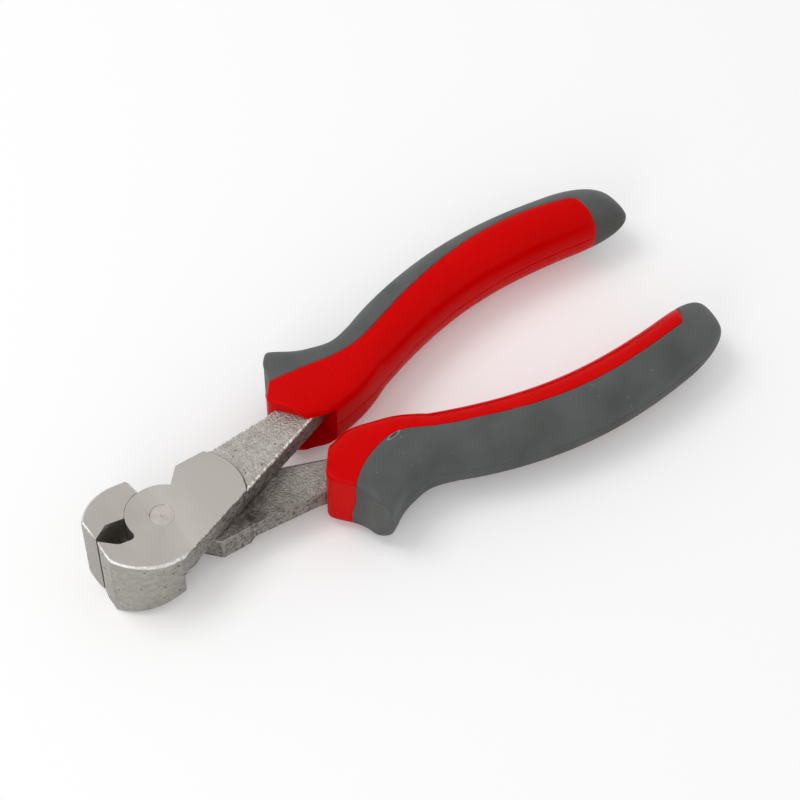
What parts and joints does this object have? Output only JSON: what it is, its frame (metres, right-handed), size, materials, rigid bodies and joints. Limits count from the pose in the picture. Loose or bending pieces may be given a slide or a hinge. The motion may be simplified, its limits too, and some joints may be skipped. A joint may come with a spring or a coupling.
{
  "type": "end cutting nippers",
  "caption": "Hand-held end cutting nippers: forged levers crossed on a rivet, with wide edges that meet square across the front and bowed, moulded grips.",
  "frame": {"origin": "middle of the rivet's upper end, flush in the upper joint face", "axes": "+Z along the rivet, out of the upper joint face; +X along the tool towards the handle ends; the cutting edges lie square across the front at -X"},
  "size_m": [0.1605, 0.0656, 0.0206],
  "materials": {
    "lever_steel": "forged and bead-blasted steel with ground faces",
    "rivet_steel": "ground flush with the joint faces",
    "core_plastic": "hard red plastic, moulded, semi-gloss",
    "cover_rubber": "soft grey overmould, satin"
  },
  "bodies": {
    "upper": {"upper_lever": "lever_steel", "pivot_rivet": "rivet_steel", "upper_grip_core": "core_plastic", "upper_grip_cover": "cover_rubber"},
    "lower": {"lower_lever": "lever_steel", "lower_grip_core": "core_plastic", "lower_grip_cover": "cover_rubber"}
  },
  "joints": [
    {"name": "lever_pivot", "type": "hinge", "parent": "upper", "child": "lower", "pos_m": [0, 0, 0], "axis": [0, 0, 1], "range_deg": [-48, 2.2]}
  ]
}
